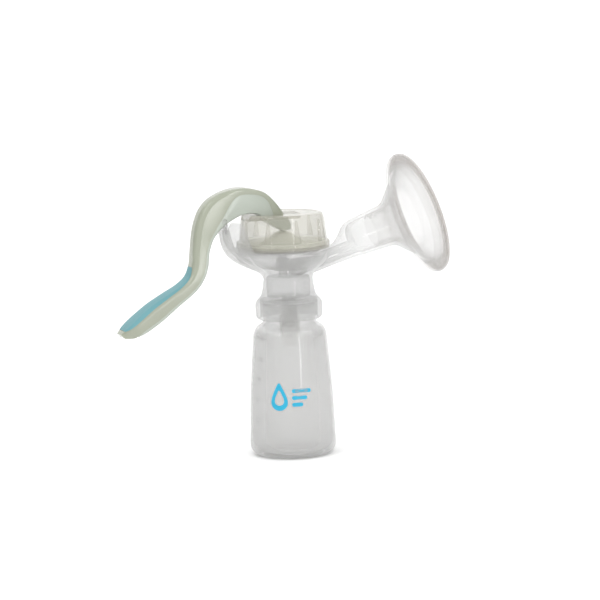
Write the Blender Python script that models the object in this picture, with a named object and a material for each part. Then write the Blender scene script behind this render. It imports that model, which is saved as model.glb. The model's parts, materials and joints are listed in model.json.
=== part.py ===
"""Manual breast pump: bottle, pump body with breast shield, cap, diaphragm and squeeze handle.

Run with: blender --background --python part.py

Row frame, metres: +Z up, origin at the centre of the bottle's base, +X towards the breast
shield, -X towards the squeeze handle. The numbers below are millimetres; MM turns them into
metres where a mesh is made.
"""
import math

import bmesh
import bpy
from mathutils import Matrix, Vector

MM = 0.001
GAP = 0.3                       # left between two pieces that touch

# ---- driving dimensions, millimetres ----
ROUND_STEPS = 28                # facets round a large turned piece
SMALL_STEPS = 16                # facets round a small turned piece

BOTTLE_RADIUS = 27.8
BOTTLE_WALL = 1.4
BOTTLE_SHOULDER_Z = 80.0
BOTTLE_MOUTH_Z = 99.8
NECK_RADIUS = 17.0              # bottle neck, outside, without its threads
NECK_BORE = 15.4
THREAD_HEIGHT = 1.1
THREAD_LEVELS = (91.4, 96.0)

SKIRT_RADIUS = 21.8             # screw skirt of the pump body
SKIRT_BORE = 18.7
SKIRT_BOTTOM_Z = 89.2
DECK_Z = 101.8                  # underside of the deck that closes the skirt
DECK_WALL = 1.6
BODY_NECK_RADIUS = 16.0
BODY_NECK_BORE = 14.2
BODY_NECK_TOP_Z = 118.6
SEAT_RADIUS = 5.2               # tube under the deck that carries the valve
SEAT_BORE = 4.0
SEAT_BOTTOM_Z = 83.0

HEAD_X = -2.65                  # vertical axis of cup, cap, diaphragm and stem
BOWL_LEFT = 42.1                # reach of the oval bowl from HEAD_X, at its rim
BOWL_RIGHT = 29.8
BOWL_HALF_WIDTH = 30.6
BOWL_WALL = 1.8
BOWL_FLOOR_Z = 117.0
BOWL_RIM_Z = 134.6
BOWL_RIM_RISE = 15.0            # how much higher the rim is at the handle's end
BOWL_CHEEK_RISE = 5.0           # and how much more beside the handle
CUP_RADIUS = 29.5
CUP_FLOOR_Z = 131.6
CUP_RIM_RADIUS = 28.0
CUP_RIM_Z = 137.0
AIR_TUBE_RADIUS = 4.2
AIR_TUBE_BORE = 2.8
AIR_TUBE_X = -3.35

TUNNEL_ANGLE = math.radians(17.0)   # the shield's axis climbs this much from +X
TUNNEL_X = 58.4                 # a point of that axis, where the cushion's stem ends
TUNNEL_Z = 142.0
TUNNEL_WALL = 1.8
CHANNEL_DROP = 4.9              # milk channel centre under the tunnel's axis
CHANNEL_HALF_WIDTH = 9.5
CHANNEL_HALF_HEIGHT = 6.4
CUSHION_SKIN = 1.3

CAP_RADIUS = 26.6
CAP_TOP_Z = 158.0
CAP_WALL = 1.7
CAP_FLANGE_RADIUS = 30.2
CAP_FLANGE_Z = 135.4
CAP_LEDGE_Z = 139.9             # ledge inside the cap that holds the diaphragm's bead
CAP_SLOT_HALF_WIDTH = 8.3
CAP_SLOT_END_X = 7.5

STEM_BALL_RADIUS = 3.9
STEM_BALL_Z = 151.6
STEM_NECK_RADIUS = 1.9
STEM_FOOT_RADIUS = 7.6

FORK_Z = 148.3                  # floor of the liner's pocket under the stem's ball
PIVOT = (-43.5, 155.0)          # x and z of the handle's pin
PIN_RADIUS = 1.5
PIN_HALF_LENGTH = 6.2
LUG_HALF_WIDTH = 2.4
HANDLE_HALF_WIDTH = 7.0
GRIP_HALF_WIDTH = 10.6
SHELL_WALL = 2.0
LINER_BAND = 1.8                # thickness of the liner along the arm
PAD_THICKNESS = 3.4
HEM = 0.9                       # chamfer of the handle pieces' long edges


def clear_scene():
    """Remove whatever the scene starts with."""
    for thing in list(bpy.data.objects):
        bpy.data.objects.remove(thing, do_unlink=True)


def plastic(name, colour, roughness, alpha=1.0):
    """A Principled material of one colour."""
    material = bpy.data.materials.new(name)
    material.use_nodes = True
    shader = material.node_tree.nodes["Principled BSDF"]
    shader.inputs["Base Color"].default_value = (*colour, 1.0)
    shader.inputs["Roughness"].default_value = roughness
    shader.inputs["Metallic"].default_value = 0.0
    shader.inputs["Alpha"].default_value = alpha
    return material


def add_object(name, bm, material=None, smooth_angle=35.0):
    """Turn a bmesh in millimetres into a named object in metres."""
    bmesh.ops.remove_doubles(bm, verts=bm.verts, dist=1e-4)
    bmesh.ops.recalc_face_normals(bm, faces=bm.faces)
    bmesh.ops.scale(bm, vec=(MM, MM, MM), verts=bm.verts)
    mesh = bpy.data.meshes.new(name)
    bm.to_mesh(mesh)
    bm.free()
    mesh.shade_smooth()
    mesh.set_sharp_from_angle(angle=math.radians(smooth_angle))
    if material is not None:
        mesh.materials.append(material)
    thing = bpy.data.objects.new(name, mesh)
    bpy.context.collection.objects.link(thing)
    return thing


def as_tool(thing):
    """Mark an object as a helper for a Boolean, not a piece."""
    thing.hide_render = True
    thing.display_type = 'WIRE'
    return thing


def boolean(target, tool, operation):
    """Join a helper to a piece, or cut the piece with it."""
    modifier = target.modifiers.new(f"{operation.lower()}_{tool.name}", 'BOOLEAN')
    modifier.operation = operation
    modifier.object = as_tool(tool)
    modifier.solver = 'EXACT'


def smooth_path(points, samples):
    """Catmull-Rom curve through the points, with samples steps between neighbours."""
    ends = [points[0], *points, points[-1]]
    path = []
    for a, b, c, d in zip(ends, ends[1:], ends[2:], ends[3:]):
        for step in range(samples):
            t = step / samples
            path.append(tuple(
                0.5 * (2 * q + (r - p) * t + (2 * p - 5 * q + 4 * r - s) * t * t
                       + (3 * q - p - 3 * r + s) * t ** 3)
                for p, q, r, s in zip(a, b, c, d)))
    path.append(tuple(points[-1]))
    return path


def arc(centre, radius, start, end, steps):
    """Points of a round stretch in a profile; angles in degrees."""
    angles = [math.radians(start + (end - start) * i / steps) for i in range(steps + 1)]
    return [(centre[0] + radius * math.cos(a), centre[1] + radius * math.sin(a)) for a in angles]


def lathe(profile, steps, axis_x=0.0, closed=False):
    """Spin a profile of (radius, height) points about a vertical axis."""
    bm = bmesh.new()
    verts = [bm.verts.new((radius, 0.0, height)) for radius, height in profile]
    pairs = list(zip(verts, verts[1:]))
    if closed:
        pairs.append((verts[-1], verts[0]))
    edges = [bm.edges.new(pair) for pair in pairs]
    bmesh.ops.spin(bm, geom=verts + edges, cent=(0, 0, 0), axis=(0, 0, 1),
                   angle=2 * math.pi, steps=steps, use_merge=True)
    bmesh.ops.remove_doubles(bm, verts=bm.verts, dist=1e-4)
    bmesh.ops.translate(bm, vec=(axis_x, 0.0, 0.0), verts=bm.verts)
    return bm


def loft(rings):
    """Skin a list of equal rings of points and close both ends."""
    bm = bmesh.new()
    loops = [[bm.verts.new(point) for point in ring] for ring in rings]
    count = len(loops[0])
    for lower, upper in zip(loops, loops[1:]):
        for i in range(count):
            j = (i + 1) % count
            bm.faces.new((lower[i], lower[j], upper[j], upper[i]))
    for ring in (loops[0], loops[-1]):
        middle = bm.verts.new(sum((v.co for v in ring), Vector()) / count)
        for i in range(count):
            bm.faces.new((ring[i], ring[(i + 1) % count], middle))
    return bm


def block(low, high):
    """A box between two corners."""
    bm = bmesh.new()
    bmesh.ops.create_cube(bm, size=1.0)
    size = [h - l for l, h in zip(low, high)]
    centre = [(h + l) / 2 for l, h in zip(low, high)]
    bmesh.ops.scale(bm, vec=size, verts=bm.verts)
    bmesh.ops.translate(bm, vec=centre, verts=bm.verts)
    return bm


def rod(radius, half_length, x, z, steps):
    """A cylinder along Y through (x, z)."""
    bm = bmesh.new()
    turn = Matrix.Translation((x, 0, z)) @ Matrix.Rotation(math.pi / 2, 4, 'X')
    bmesh.ops.create_cone(bm, cap_ends=True, segments=steps, radius1=radius, radius2=radius,
                          depth=2 * half_length, matrix=turn)
    return bm


def tilt_to_tunnel(bm):
    """Move a shape made about the vertical axis onto the shield's axis."""
    turn = Matrix.Rotation(math.pi / 2 - TUNNEL_ANGLE, 4, 'Y')
    bmesh.ops.transform(bm, matrix=Matrix.Translation((TUNNEL_X, 0, TUNNEL_Z)) @ turn,
                        verts=bm.verts)
    return bm


# ---- bottle and seal ----

def bottle_outside():
    """Half outline of the bottle, from the middle of its base to its mouth."""
    base = [(0.0, 0.0), (11.5, 0.0), (13.0, 1.2), (17.0, 1.2), (18.5, 0.0)]
    corner = arc((BOTTLE_RADIUS - 6.6, 6.6), 6.6, -90, 0, 4)
    wall = [(27.0, 38.0), (25.1, 64.0), (24.2, 75.0)]
    shoulder = smooth_path([(23.5, BOTTLE_SHOULDER_Z), (21.9, 83.2), (19.2, 85.4),
                            (NECK_RADIUS, 87.4)], 2)
    threads = []
    for level in THREAD_LEVELS:
        crest = NECK_RADIUS + THREAD_HEIGHT
        threads += [(NECK_RADIUS, level - 1.2), (crest, level - 0.4),
                    (crest, level + 0.4), (NECK_RADIUS, level + 1.2)]
    return base + corner + wall + shoulder + threads + [(NECK_RADIUS, BOTTLE_MOUTH_Z)]


def bottle_inside():
    """Half outline of the space in the bottle, from its mouth down to its floor."""
    inner = BOTTLE_RADIUS - BOTTLE_WALL
    neck = [(NECK_BORE, BOTTLE_MOUTH_Z), (NECK_BORE, 86.9), (17.6, 84.4), (20.8, 82.0)]
    wall = [(22.2, 79.4), (23.7, 64.0), (25.6, 38.0)]
    corner = arc((inner - 5.6, 8.4), 5.6, 0, -90, 3)
    return neck + wall + corner + [(0.0, 2.8)]


def make_bottle():
    """The milk bottle: one turned shell with a ring groove under it and a threaded neck."""
    milky = plastic("bottle", (0.80, 0.82, 0.83), 0.28, 0.5)
    return add_object("bottle", lathe(bottle_outside() + bottle_inside(), ROUND_STEPS), milky)


def make_seal_ring():
    """Flat silicone ring between the bottle's mouth and the deck of the body."""
    low = BOTTLE_MOUTH_Z + GAP
    high = DECK_Z - GAP
    profile = [(12.0, low), (18.2, low), (18.2, high), (12.0, high)]
    silicone = plastic("seal_silicone", (0.86, 0.86, 0.84), 0.45, 0.7)
    return add_object("neck_seal_ring", lathe(profile, ROUND_STEPS, closed=True), silicone)


# ---- pump body ----

def smooth_step(share):
    """Ease from 0 to 1, level at both ends."""
    share = min(max(share, 0.0), 1.0)
    return share * share * (3 - 2 * share)


def rim_rise(angle):
    """Extra height of the bowl's rim: high at the handle, with a slot that it passes through."""
    end = smooth_step((-math.cos(angle) - 0.62) / 0.22)
    cheek = smooth_step((abs(math.sin(angle)) - 0.26) / 0.12)
    return end * (BOWL_RIM_RISE + BOWL_CHEEK_RISE * cheek)


def bowl_ring(level, reach, shrink, steps=48):
    """One oval ring of the bowl; level is 0 at its floor and 1 at its rim."""
    ring = []
    for i in range(steps):
        angle = 2 * math.pi * i / steps
        far = BOWL_LEFT if math.cos(angle) < 0 else BOWL_RIGHT
        radius_x = BODY_NECK_RADIUS + (far - BODY_NECK_RADIUS) * reach - shrink
        radius_y = BODY_NECK_RADIUS + (BOWL_HALF_WIDTH - BODY_NECK_RADIUS) * reach - shrink
        rim = BOWL_RIM_Z + rim_rise(angle)
        shift = HEAD_X * reach
        ring.append((shift + radius_x * math.cos(angle), radius_y * math.sin(angle),
                     BOWL_FLOOR_Z + (rim - BOWL_FLOOR_Z) * level))
    return ring


def bowl_shell():
    """Thin oval bowl: its outside up to the rim and its inside back down."""
    curve = [(0.0, 0.0), (0.10, 0.14), (0.31, 0.22), (0.60, 0.34), (0.84, 0.50), (0.97, 0.70),
             (1.0, 0.88)]
    rings = [bowl_ring(level, reach, 0.0) for reach, level in curve]
    rings.append(bowl_ring(0.97, 0.985, 0.0))
    rings.append(bowl_ring(1.0, 0.985, 0.9))
    rings.append(bowl_ring(0.97, 0.985, BOWL_WALL))
    floor_lift = 0.10
    for reach, level in reversed(curve[2:]):
        rings.append(bowl_ring(max(level, floor_lift) + 0.03, reach, BOWL_WALL))
    rings.append(bowl_ring(0.20, 0.06, BOWL_WALL))
    return loft(rings)


def neck_outside():
    """Solid of the body's neck and screw skirt."""
    skirt = SKIRT_RADIUS
    profile = [(0.0, BODY_NECK_TOP_Z), (14.6, BODY_NECK_TOP_Z), (15.8, 117.2),
               (BODY_NECK_RADIUS, 115.5), (16.4, 110.5), (17.4, 106.0), (19.0, 103.2),
               (20.9, 101.2), (skirt, 99.0), (skirt, 93.0), (21.4, 91.2), (20.3, SKIRT_BOTTOM_Z),
               (0.0, SKIRT_BOTTOM_Z)]
    return lathe(profile, ROUND_STEPS)


def neck_hollows():
    """Cutters for the threaded skirt and for the milk space above the deck."""
    skirt = [(0.0, DECK_Z), (SKIRT_BORE, DECK_Z), (SKIRT_BORE, SKIRT_BOTTOM_Z - 2),
             (0.0, SKIRT_BOTTOM_Z - 2)]
    top = BODY_NECK_TOP_Z - DECK_WALL
    low = DECK_Z + DECK_WALL
    chamber = [(0.0, top), (12.8, top), (BODY_NECK_BORE, top - 1.4), (BODY_NECK_BORE, low + 1.2),
               (13.0, low), (0.0, low)]
    return (add_object("tool_skirt_hollow", lathe(skirt, ROUND_STEPS)),
            add_object("tool_neck_chamber", lathe(chamber, ROUND_STEPS)))


def cup_solid():
    """Round cup that holds the diaphragm, joined into the bowl."""
    profile = [(0.0, CUP_FLOOR_Z), (CUP_RADIUS - 0.9, CUP_FLOOR_Z), (CUP_RADIUS, CUP_FLOOR_Z + 0.9),
               (CUP_RADIUS, 134.8), (CUP_RIM_RADIUS, 134.9), (CUP_RIM_RADIUS, CUP_RIM_Z),
               (25.6, CUP_RIM_Z), (25.6, 134.2), (24.8, 133.4), (0.0, 133.4)]
    return lathe([(r, z) for r, z in reversed(profile)], ROUND_STEPS, HEAD_X)


def shield_outside():
    """Solid of the wide tunnel and the breast shield, about the shield's axis."""
    profile = [(0.0, 32.8), (36.4, 32.8), (37.0, 32.2), (36.6, 31.6), (34.0, 30.6), (27.5, 26.0),
               (20.0, 18.6), (16.5, 15.5), (14.0, 12.4), (13.1, 0.0), (12.3, -11.5),
               (11.3, -14.8), (9.4, -16.9), (0.0, -17.5)]
    return tilt_to_tunnel(lathe(profile, ROUND_STEPS))


def shield_hollow():
    """Cutter for the inside of the tunnel and shield."""
    profile = [(0.0, 37.0), (41.0, 37.0), (35.3, 32.7), (33.2, 32.2), (26.4, 27.5), (18.9, 20.0),
               (15.0, 16.6), (12.2, 13.0), (11.3, 0.0), (10.5, -11.0), (9.6, -13.6),
               (8.2, -15.1), (0.0, -15.7)]
    return tilt_to_tunnel(lathe(profile, ROUND_STEPS))


def oval_rings(stations, wall, steps=SMALL_STEPS):
    """Oval rings for stations of (height, drop, half height, half width), less a wall."""
    rings = []
    for height, drop, half_height, half_width in stations:
        angles = [2 * math.pi * i / steps for i in range(steps)]
        rings.append([(drop + (half_height - wall) * math.cos(a),
                       (half_width - wall) * math.sin(a), height) for a in angles])
    return rings


def channel_tube(wall, low, high):
    """Oval tube under the tunnel's axis, which leads the milk to the neck."""
    stations = [(height, CHANNEL_DROP, CHANNEL_HALF_HEIGHT, CHANNEL_HALF_WIDTH)
                for height in (low, high)]
    return tilt_to_tunnel(loft(oval_rings(stations, wall)))


def throat():
    """Web that runs from the tunnel's closed end down into the channel."""
    stations = [(-29.5, 4.92, 6.35, 9.45), (-25.8, 4.5, 6.9, 9.8), (-21.8, 2.95, 8.55, 10.3),
                (-18.3, 1.25, 10.45, 11.0), (-13.0, 0.05, 11.9, 11.9)]
    return tilt_to_tunnel(loft(oval_rings(stations, 0.0, 24)))


def upright_tube(radius, low, high, x=0.0):
    """A plain cylinder between two levels."""
    return lathe([(0.0, high), (radius, high), (radius, low), (0.0, low)], SMALL_STEPS, x)


def pivot_lug():
    """Lug on the bowl's high rim, inside the handle, with a round top about the pin."""
    x, z = PIVOT
    outline = [(x - 1.9, 146.6), (x + 2.9, 146.6)] + arc((x, z), 2.6, 0, 180, 6)
    bm = bmesh.new()
    side = [bm.verts.new((px, -LUG_HALF_WIDTH, pz)) for px, pz in outline]
    face = bm.faces.new(side)
    grown = bmesh.ops.extrude_face_region(bm, geom=[face])
    moved = [item for item in grown["geom"] if isinstance(item, bmesh.types.BMVert)]
    bmesh.ops.translate(bm, vec=(0, 2 * LUG_HALF_WIDTH, 0), verts=moved)
    return bm


def make_pump_body():
    """Bowl, cup, neck, tunnel and breast shield: one clear moulding."""
    clear = plastic("body_plastic", (0.78, 0.80, 0.82), 0.18, 0.45)
    body = add_object("pump_body", bowl_shell(), clear)
    solids = {"cup": cup_solid(), "neck": neck_outside(), "shield": shield_outside(),
              "throat": throat(),
              "channel": channel_tube(0.0, -66.0, -11.0),
              "air_tube": upright_tube(AIR_TUBE_RADIUS, 115.0, 132.6, AIR_TUBE_X),
              "lug": pivot_lug()}
    for name, bm in solids.items():
        boolean(body, add_object(f"tool_{name}", bm), 'UNION')
    for hollow in neck_hollows():
        boolean(body, hollow, 'DIFFERENCE')
    seat = upright_tube(SEAT_RADIUS, SEAT_BOTTOM_Z, DECK_Z + 0.8)
    boolean(body, add_object("tool_valve_seat", seat), 'UNION')
    hollows = {"air_bore": upright_tube(AIR_TUBE_BORE, 112.0, 135.5, AIR_TUBE_X),
               "seat_bore": upright_tube(SEAT_BORE, SEAT_BOTTOM_Z - 2, DECK_Z + 4.0),
               "pin_hole": rod(PIN_RADIUS + 0.1, LUG_HALF_WIDTH + 1, *PIVOT, SMALL_STEPS),
               "channel_hollow": channel_tube(TUNNEL_WALL, -60.0, -8.7),
               "shield_hollow": shield_hollow()}
    for name, bm in hollows.items():
        boolean(body, add_object(f"tool_{name}", bm), 'DIFFERENCE')
    return body


# ---- soft pieces ----

def thick_path(path, thickness):
    """Closed profile that follows a path with an even wall."""
    left, right = [], []
    for i, point in enumerate(path):
        before = path[max(i - 1, 0)]
        after = path[min(i + 1, len(path) - 1)]
        run = Vector((after[0] - before[0], after[1] - before[1])).normalized()
        side = Vector((-run.y, run.x)) * thickness / 2
        left.append((point[0] + side.x, point[1] + side.y))
        right.append((point[0] - side.x, point[1] - side.y))
    return left + right[::-1]


def make_massage_cushion():
    """Silicone liner of the shield, with a ridge and a lip folded back over its rim."""
    path = [(10.35, 0.0), (11.0, 11.5), (12.4, 15.6), (17.0, 20.4), (20.7, 25.6), (22.4, 27.3),
            (27.0, 29.6), (33.0, 33.6), (38.4, 36.2), (39.9, 36.0), (40.4, 34.0), (39.6, 32.0),
            (36.6, 30.5), (33.4, 28.9)]
    profile = thick_path(smooth_path(path, 1), CUSHION_SKIN)
    silicone = plastic("cushion_silicone", (0.80, 0.76, 0.72), 0.35, 0.55)
    bm = tilt_to_tunnel(lathe(profile, ROUND_STEPS, closed=True))
    return add_object("massage_cushion", bm, silicone)


def make_duckbill_valve():
    """Silicone valve: a round collar that flattens into a closed slit."""
    def ring(width, depth, z):
        angles = [2 * math.pi * i / SMALL_STEPS for i in range(SMALL_STEPS)]
        return [(width * math.cos(a), depth * math.sin(a), z) for a in angles]
    outside = [ring(4.6, 0.8, 69.7), ring(5.4, 2.4, 74.0), ring(6.6, 5.6, 79.0),
               ring(6.6, 6.6, 82.0), ring(6.6, 6.6, 91.0)]
    inside = [ring(5.6, 5.6, 91.0), ring(5.6, 5.6, 82.2), ring(5.4, 4.5, 79.2),
              ring(4.4, 1.4, 74.4), ring(3.8, 0.35, 71.2)]
    silicone = plastic("valve_silicone", (0.84, 0.84, 0.83), 0.4, 0.7)
    return add_object("duckbill_valve", loft(outside + inside), silicone)


def make_diaphragm():
    """Round silicone diaphragm: rim bead, roll, steep cone and a boss round the stem."""
    bead = [(25.2, 139.6), (25.2, 137.3), (27.7, 137.3), (27.7, 139.6)]
    under = [(22.6, 136.3), (19.8, 134.7), (16.9, 135.4), (7.6, 141.6), (4.2, 144.6),
             (2.4, 144.9)]
    over = [(2.4, 145.9), (5.0, 145.4), (8.4, 142.4), (17.6, 136.5), (19.8, 135.8),
            (22.0, 137.2)]
    profile = bead[1:] + bead[:1] + over[::-1] + under[::-1]
    silicone = plastic("diaphragm_silicone", (0.82, 0.82, 0.80), 0.42, 0.75)
    bm = lathe(profile, ROUND_STEPS, HEAD_X, closed=True)
    return add_object("diaphragm", bm, silicone)


# ---- cap and stem ----

def make_cap():
    """Clear cap that holds the diaphragm down, slotted for the handle's nose."""
    outside = [(0.0, CAP_TOP_Z), (24.2, CAP_TOP_Z), (25.8, 157.2), (CAP_RADIUS, 155.6),
               (27.9, 140.6), (29.6, 140.2), (CAP_FLANGE_RADIUS, 139.5),
               (CAP_FLANGE_RADIUS, 136.0), (29.7, CAP_FLANGE_Z)]
    inside = [(28.4, CAP_FLANGE_Z), (28.4, CAP_LEDGE_Z), (26.3, CAP_LEDGE_Z), (26.1, 141.0),
              (CAP_RADIUS - CAP_WALL, 155.0), (23.8, CAP_TOP_Z - CAP_WALL),
              (0.0, CAP_TOP_Z - CAP_WALL)]
    clear = plastic("cap_plastic", (0.90, 0.90, 0.88), 0.08, 0.35)
    cap = add_object("cap", lathe(outside + inside, ROUND_STEPS, HEAD_X), clear)
    slot = block((-34.0, -CAP_SLOT_HALF_WIDTH, 154.2),
                 (CAP_SLOT_END_X, CAP_SLOT_HALF_WIDTH, 161.0))
    boolean(cap, add_object("tool_cap_slot", slot), 'DIFFERENCE')
    return cap


def make_diaphragm_stem():
    """Stem that joins the diaphragm to the handle: foot under the boss, neck and ball."""
    foot = [(0.0, 139.4), (STEM_FOOT_RADIUS - 0.6, 139.4), (STEM_FOOT_RADIUS, 140.2),
            (7.35, 141.3), (3.95, 144.3), (STEM_NECK_RADIUS, 144.5)]
    start = -math.degrees(math.acos(STEM_NECK_RADIUS / STEM_BALL_RADIUS))
    ball = arc((0.0, STEM_BALL_Z), STEM_BALL_RADIUS, start, 90, 7)
    profile = foot + ball[:-1] + [(0.0, STEM_BALL_Z + STEM_BALL_RADIUS)]
    milky = plastic("stem_plastic", (0.86, 0.86, 0.84), 0.3)
    return add_object("diaphragm_stem", lathe(profile, SMALL_STEPS, HEAD_X), milky)


# ---- handle ----
# Each station is (outer edge, dividing line, inner edge) of the handle, as x and z, from the
# cap's slot over the arch and down the arm to the tail.
ARCH = [((-1.9, 156.4), (-10.6, 156.3), (-18.5, 156.5)),
        ((-3.4, 158.7), (-11.5, 160.1), (-20.5, 158.0)),
        ((-8.6, 165.5), (-14.2, 166.6), (-23.0, 158.9)),
        ((-15.6, 172.0), (-19.0, 170.3), (-26.5, 159.2)),
        ((-23.5, 174.8), (-25.0, 171.6), (-29.5, 158.8)),
        ((-32.2, 175.8), (-31.5, 171.6), (-33.3, 158.0)),
        ((-42.5, 174.0), (-36.5, 169.4), (-37.6, 156.0)),
        ((-52.0, 169.6), (-40.6, 164.4), (-41.3, 153.9)),
        ((-58.4, 162.7), (-44.4, 158.0), (-44.7, 151.3)),
        ((-62.2, 153.5), (-49.6, 150.4), (-48.0, 148.2))]
ARM = [((-63.9, 145.0), (-51.6, 143.6)),
       ((-64.9, 136.0), (-54.3, 136.0)),
       ((-65.8, 127.8), (-55.6, 126.8)),
       ((-68.6, 120.6), (-58.8, 118.8)),
       ((-74.6, 115.4), (-65.0, 111.4)),
       ((-84.0, 110.2), (-77.0, 102.6)),
       ((-94.0, 104.4), (-87.6, 94.6)),
       ((-103.6, 97.2), (-98.0, 88.2)),
       ((-110.4, 91.4), (-106.0, 85.2)),
       ((-114.6, 87.0), (-112.2, 84.6))]
PAD_FIRST = 2                   # the pad lies between these stations of the arm
PAD_LAST = 8
LINER_LAST = 7                  # and the liner ends at this one
PAD_EDGE = 1.0                  # depth of its recess at its two ends
PAD_RUN = 6                     # and sections over which that grows to its full depth
ARM_SAMPLES = 2


def handle_stations():
    """Smooth list of (outer, dividing line, inner, half width) along the whole handle."""
    rows = [(*outer, *split, *inner, HANDLE_HALF_WIDTH) for outer, split, inner in ARCH]
    for number, (outer, inner) in enumerate(ARM):
        band = LINER_BAND if number <= LINER_LAST else 0.0
        split = Vector(inner) + (Vector(outer) - Vector(inner)).normalized() * band
        share = number / (len(ARM) - 1)
        ease = share * share * (3 - 2 * share)
        width = HANDLE_HALF_WIDTH + (GRIP_HALF_WIDTH - HANDLE_HALF_WIDTH) * ease
        rows.append((*outer, *split, *inner, width))
    return [(Vector(r[0:2]), Vector(r[2:4]), Vector(r[4:6]), r[6])
            for r in smooth_path(rows, ARM_SAMPLES)]


def strip_ring(top, bottom, half_width, hem):
    """Chamfered rectangular section between two points of the side view."""
    across = top - bottom
    hem = min(hem, across.length * 0.4)
    step = across.normalized() * hem
    narrow = half_width - hem
    corners = [(top, -narrow), (top, narrow), (top - step, half_width),
               (bottom + step, half_width), (bottom, narrow), (bottom, -narrow),
               (bottom + step, -half_width), (top - step, -half_width)]
    return [(point.x, y, point.y) for point, y in corners]


def inset(top, bottom, from_top, from_bottom):
    """Pull both ends of a section towards each other."""
    run = (top - bottom).normalized()
    return top - run * from_top, bottom + run * from_bottom


def arm_index(station):
    """Place of a station of the arm in the smooth list."""
    return (len(ARCH) + station) * ARM_SAMPLES


def pad_depth(number):
    """Depth of the pad's recess at a place in the smooth list; it runs out at both ends."""
    from_end = min(number - arm_index(PAD_FIRST), arm_index(PAD_LAST) - number)
    if from_end < 0:
        return 0.0
    return PAD_EDGE + (PAD_THICKNESS - PAD_EDGE) * min(from_end / PAD_RUN, 1.0)


def make_handle_shell(stations):
    """Outer shell of the handle: a channel, open towards the liner."""
    rings, hollow = [], []
    for number, (outer, split, _, width) in enumerate(stations):
        top, bottom = inset(outer, split, pad_depth(number), GAP)
        rings.append(strip_ring(top, bottom, width, HEM))
        roof = min(SHELL_WALL, (top - bottom).length * 0.55)
        top, bottom = inset(top, bottom, roof, -1.0)
        hollow.append(strip_ring(top, bottom, width - SHELL_WALL, 0.2))
    cream = plastic("handle_shell", (0.86, 0.90, 0.74), 0.3)
    shell = add_object("handle_shell", loft(rings), cream)
    cutter = add_object("tool_shell_hollow", loft(hollow[1:arm_index(LINER_LAST)]))
    boolean(shell, cutter, 'DIFFERENCE')
    return shell


def liner_nose():
    """Side sections of the liner's nose, which reaches down to the stem's ball."""
    return [(Vector((0.8, 147.3)), Vector((-5.6, 147.1)), 6.4),
            (Vector((0.9, 151.2)), Vector((-12.5, 151.2)), 6.6),
            (Vector((-1.2, 155.4)), Vector((-17.4, 155.2)), 6.6),
            (Vector((-1.4, 155.8)), Vector((-18.1, 155.9)), 6.6),
            (Vector((-10.4, 156.0)), Vector((-18.3, 156.2)), 6.6)]


def make_handle_liner(stations):
    """Inner lever of the handle: forked nose, hollow arch and thin band down the arm."""
    rings = [strip_ring(top, bottom, width, HEM) for top, bottom, width in liner_nose()]
    hollow = []
    arch_end = (len(ARCH) - 2) * ARM_SAMPLES
    for number, (_, split, inner, width) in enumerate(stations[1:arm_index(LINER_LAST)]):
        rings.append(strip_ring(split, inner, width - 0.5, HEM))
        if 2 <= number <= arch_end:
            top, bottom = inset(split, inner, -1.0, SHELL_WALL)
            hollow.append(strip_ring(top, bottom, width - 0.5 - SHELL_WALL, 0.2))
    blue_green = plastic("handle_liner", (0.80, 0.89, 0.84), 0.32)
    liner = add_object("handle_liner", loft(rings), blue_green)
    x, z = PIVOT
    ball_half = STEM_BALL_RADIUS + 0.7
    neck_half = STEM_NECK_RADIUS + 0.6
    cuts = {"liner_pin_hole": rod(PIN_RADIUS + 0.1, 9.0, x, z, SMALL_STEPS),
            "lug_slot": block((x - 6.0, -3.1, 140.0), (x + 6.5, 3.1, z + 4.0)),
            "ball_pocket": block((-7.6, -ball_half, FORK_Z), (6.0, ball_half, 160.0)),
            "fork_slot": block((-5.6, -neck_half, 144.0), (6.0, neck_half, FORK_Z + 0.5)),
            "liner_hollow": loft(hollow)}
    for name, bm in cuts.items():
        boolean(liner, add_object(f"tool_{name}", bm), 'DIFFERENCE')
    return liner


def make_grip_pad(stations):
    """Soft pad let into the outer side of the arm."""
    rings = []
    for number in range(arm_index(PAD_FIRST), arm_index(PAD_LAST) + 1):
        outer, split, _, width = stations[number]
        bottom = outer - (outer - split).normalized() * (pad_depth(number) - GAP)
        rings.append(strip_ring(outer, bottom, width, 0.6))
    blue = plastic("grip_pad", (0.32, 0.60, 0.70), 0.6)
    return add_object("grip_pad", loft(rings), blue)


def make_pivot_pin():
    """Pin that the handle turns on."""
    milky = plastic("pin_plastic", (0.85, 0.87, 0.86), 0.35)
    return add_object("pivot_pin", rod(PIN_RADIUS, PIN_HALF_LENGTH, *PIVOT, SMALL_STEPS), milky)


def main():
    """Build every piece."""
    clear_scene()
    make_bottle()
    make_seal_ring()
    make_pump_body()
    make_massage_cushion()
    make_duckbill_valve()
    make_diaphragm()
    make_cap()
    make_diaphragm_stem()
    stations = handle_stations()
    make_handle_shell(stations)
    make_handle_liner(stations)
    make_grip_pad(stations)
    make_pivot_pin()


main()
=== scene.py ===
"""Looks of the manual breast pump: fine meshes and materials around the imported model.

Lengths in the shape functions are millimetres; MM turns them into metres where a mesh is made.
"""
import json
import math

import bmesh
import bpy
from mathutils import Matrix, Vector


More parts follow.
